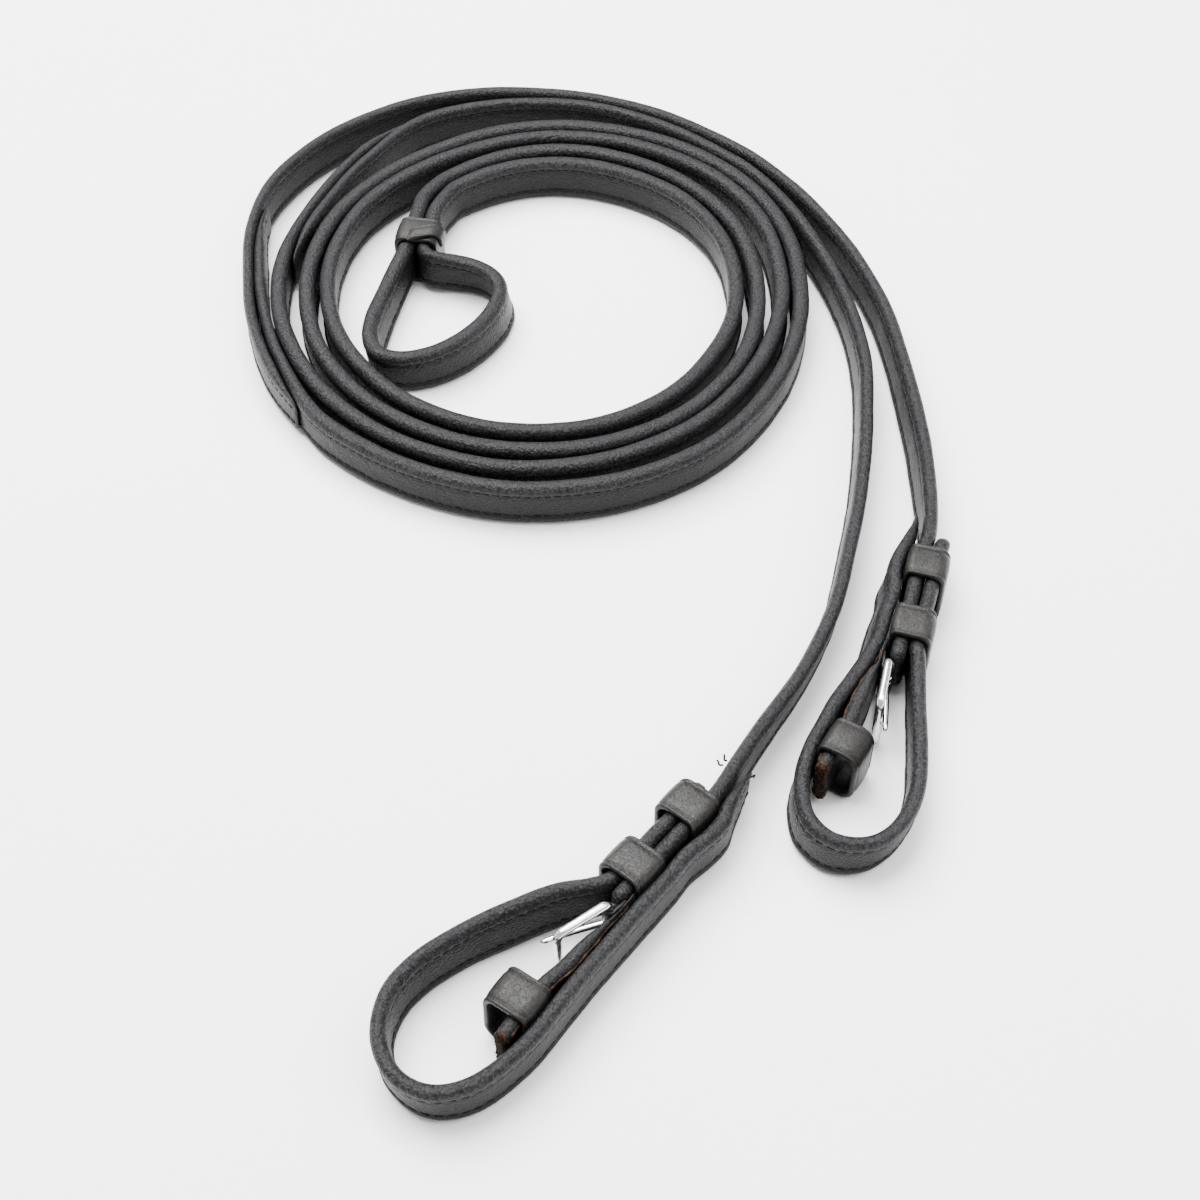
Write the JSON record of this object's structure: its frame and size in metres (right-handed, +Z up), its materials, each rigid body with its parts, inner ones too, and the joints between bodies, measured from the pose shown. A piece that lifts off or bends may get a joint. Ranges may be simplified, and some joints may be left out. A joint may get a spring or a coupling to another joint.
{
  "type": "leather reins",
  "caption": "Leather riding reins coiled on edge as a doubled spiral, with stitched splices, a hand loop held by a leather slider, and buckled bit loops with keepers.",
  "frame": {"origin": "centre of the bounding box in plan, on the surface the reins rest on", "axes": "+Z up out of the surface; -Y towards the two bit ends, nearest the viewer; +X to the right, the side the two free ends run down"},
  "size_m": [0.2246, 0.4006, 0.0201],
  "materials": {
    "leather": "grained, rolled and stitched edges, semi-matt",
    "keeper_leather": "smooth, creased near the edges",
    "raw_leather": "cut edge, matt brown core",
    "buckle": "polished, nickel look"
  },
  "bodies": {
    "reins": {"right_hand_strap": "leather", "right_bit_strap": "leather", "right_bit_loop": "leather", "right_chape_fold": "keeper_leather", "right_chape_strip": "raw_leather", "right_keeper_upper": "keeper_leather", "right_keeper_lower": "keeper_leather", "right_keeper_end": "keeper_leather", "left_hand_strap": "leather", "left_bit_strap": "leather", "left_bit_loop": "leather", "left_chape_fold": "keeper_leather", "left_chape_strip": "raw_leather", "left_keeper_upper": "keeper_leather", "left_keeper_lower": "keeper_leather", "left_keeper_end": "keeper_leather", "hand_loop": "leather"},
    "right_frame": {"right_buckle_frame": "buckle"},
    "right_tongue": {"right_buckle_tongue": "buckle"},
    "left_frame": {"left_buckle_frame": "buckle"},
    "left_tongue": {"left_buckle_tongue": "buckle"},
    "slider": {"slider_band": "keeper_leather", "slider_end": "keeper_leather"}
  },
  "joints": [
    {"name": "right_frame_swing", "type": "hinge", "parent": "reins", "child": "right_frame", "pos_m": [0.08918, -0.0702, 0.0101], "axis": [0, 0, 1], "range_deg": [-8, 6]},
    {"name": "right_tongue_swing", "type": "hinge", "parent": "right_frame", "child": "right_tongue", "pos_m": [0.08918, -0.0702, 0.0101], "axis": [0, 0, 1], "range_deg": [0, 9]},
    {"name": "left_frame_swing", "type": "hinge", "parent": "reins", "child": "left_frame", "pos_m": [0.01126, -0.14889, 0.0101], "axis": [0, 0, 1], "range_deg": [-15, 6]},
    {"name": "left_tongue_swing", "type": "hinge", "parent": "left_frame", "child": "left_tongue", "pos_m": [0.01126, -0.14889, 0.0101], "axis": [0, 0, 1], "range_deg": [-6, 8]},
    {"name": "slider_travel", "type": "slide", "parent": "reins", "child": "slider", "axis": [0.1478, 0.989, 0], "range_m": [0, 0.008]}
  ]
}
